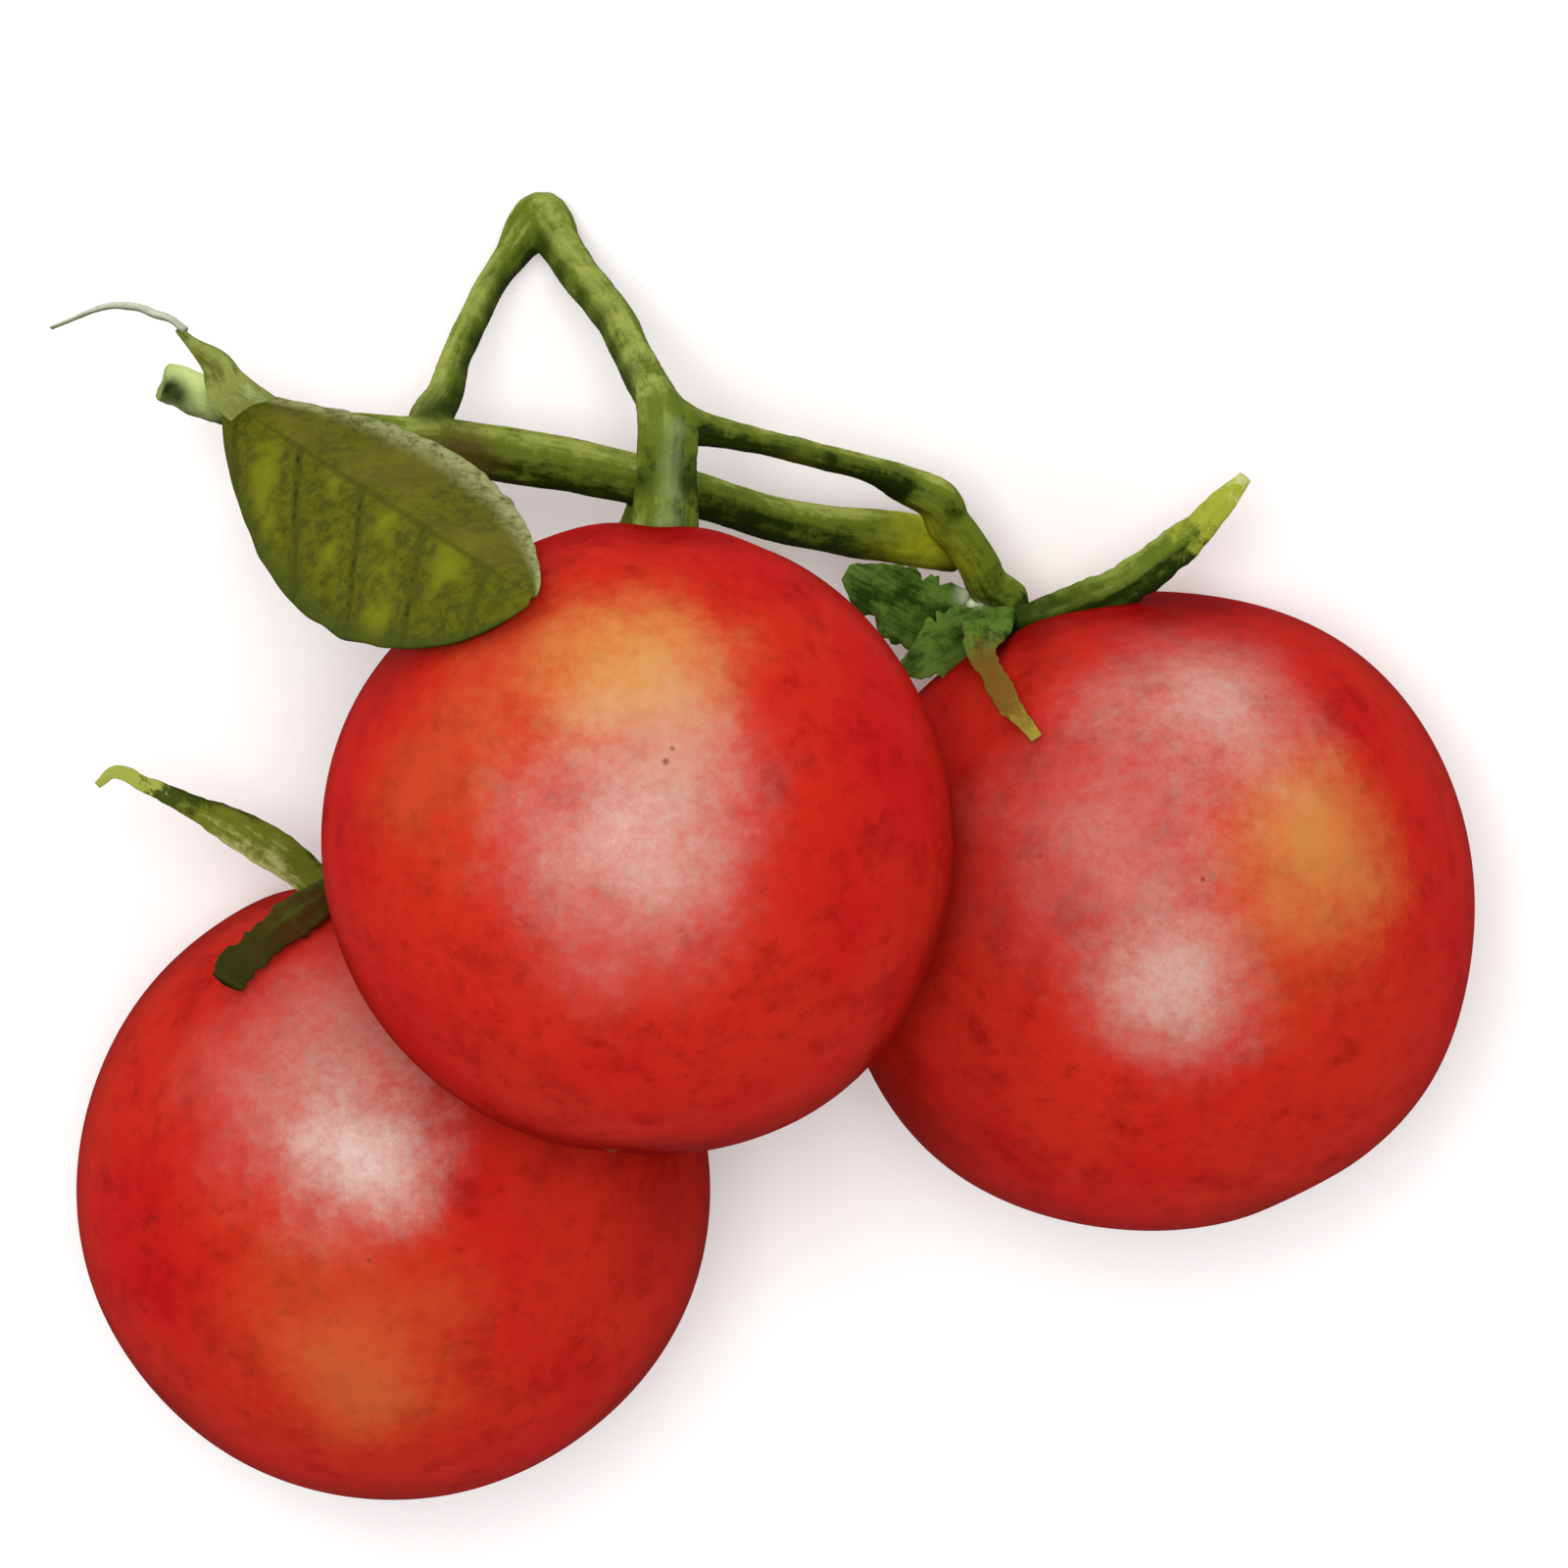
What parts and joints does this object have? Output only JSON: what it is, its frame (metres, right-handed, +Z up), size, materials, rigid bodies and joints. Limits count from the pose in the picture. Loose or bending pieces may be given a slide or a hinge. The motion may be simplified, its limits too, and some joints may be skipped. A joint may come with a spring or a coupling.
{
  "type": "truss of vine tomatoes",
  "caption": "Cut truss of small round red vine tomatoes on a green jointed stem, with sepals and a leaf, lying on a flat surface.",
  "frame": {"origin": "on the table, under the middle of the truss's box", "axes": "+Z up from the table; +X along the side on which the two lower fruits stand, from the left fruit to the right; +Y towards the side where the stems are"},
  "size_m": [0.0928, 0.0832, 0.0609],
  "materials": {
    "skin": "ripe tomato skin: smooth, waxy and softly glossy, red with orange patches",
    "stem": "fresh green stem and sepals: matt, streaked light and dark, finely hairy",
    "leaf": "olive green leaf: matt, with raised veins",
    "dry_thread": "dried pale leaf tip: matt and papery"
  },
  "bodies": {
    "root": {"arch_fall": "stem", "arch_knuckle": "stem", "arch_rise": "stem", "calyx_hub_front": "stem", "calyx_hub_left": "stem", "calyx_hub_right": "stem", "fork": "stem", "leaf_blade": "leaf", "leaf_bract": "leaf", "leaf_stalk": "leaf", "leaf_thread": "dry_thread", "sepal_front_1": "stem", "sepal_front_2": "stem", "sepal_front_3": "stem", "sepal_front_4": "stem", "sepal_front_5": "stem", "sepal_left_1": "stem", "sepal_left_2": "stem", "sepal_left_3": "stem", "sepal_left_4": "stem", "sepal_left_5": "stem", "sepal_right_1": "stem", "sepal_right_2": "stem", "sepal_right_3": "stem", "sepal_right_4": "stem", "sepal_right_5": "stem", "stem_front": "stem", "stem_left_far": "stem", "stem_left_knuckle": "stem", "stem_left_near": "stem", "stem_right_far": "stem", "stem_right_knuckle": "stem", "stem_right_near": "stem", "tomato_front": "skin", "tomato_left": "skin", "tomato_right": "skin", "vine_stem": "stem"}
  },
  "joints": []
}
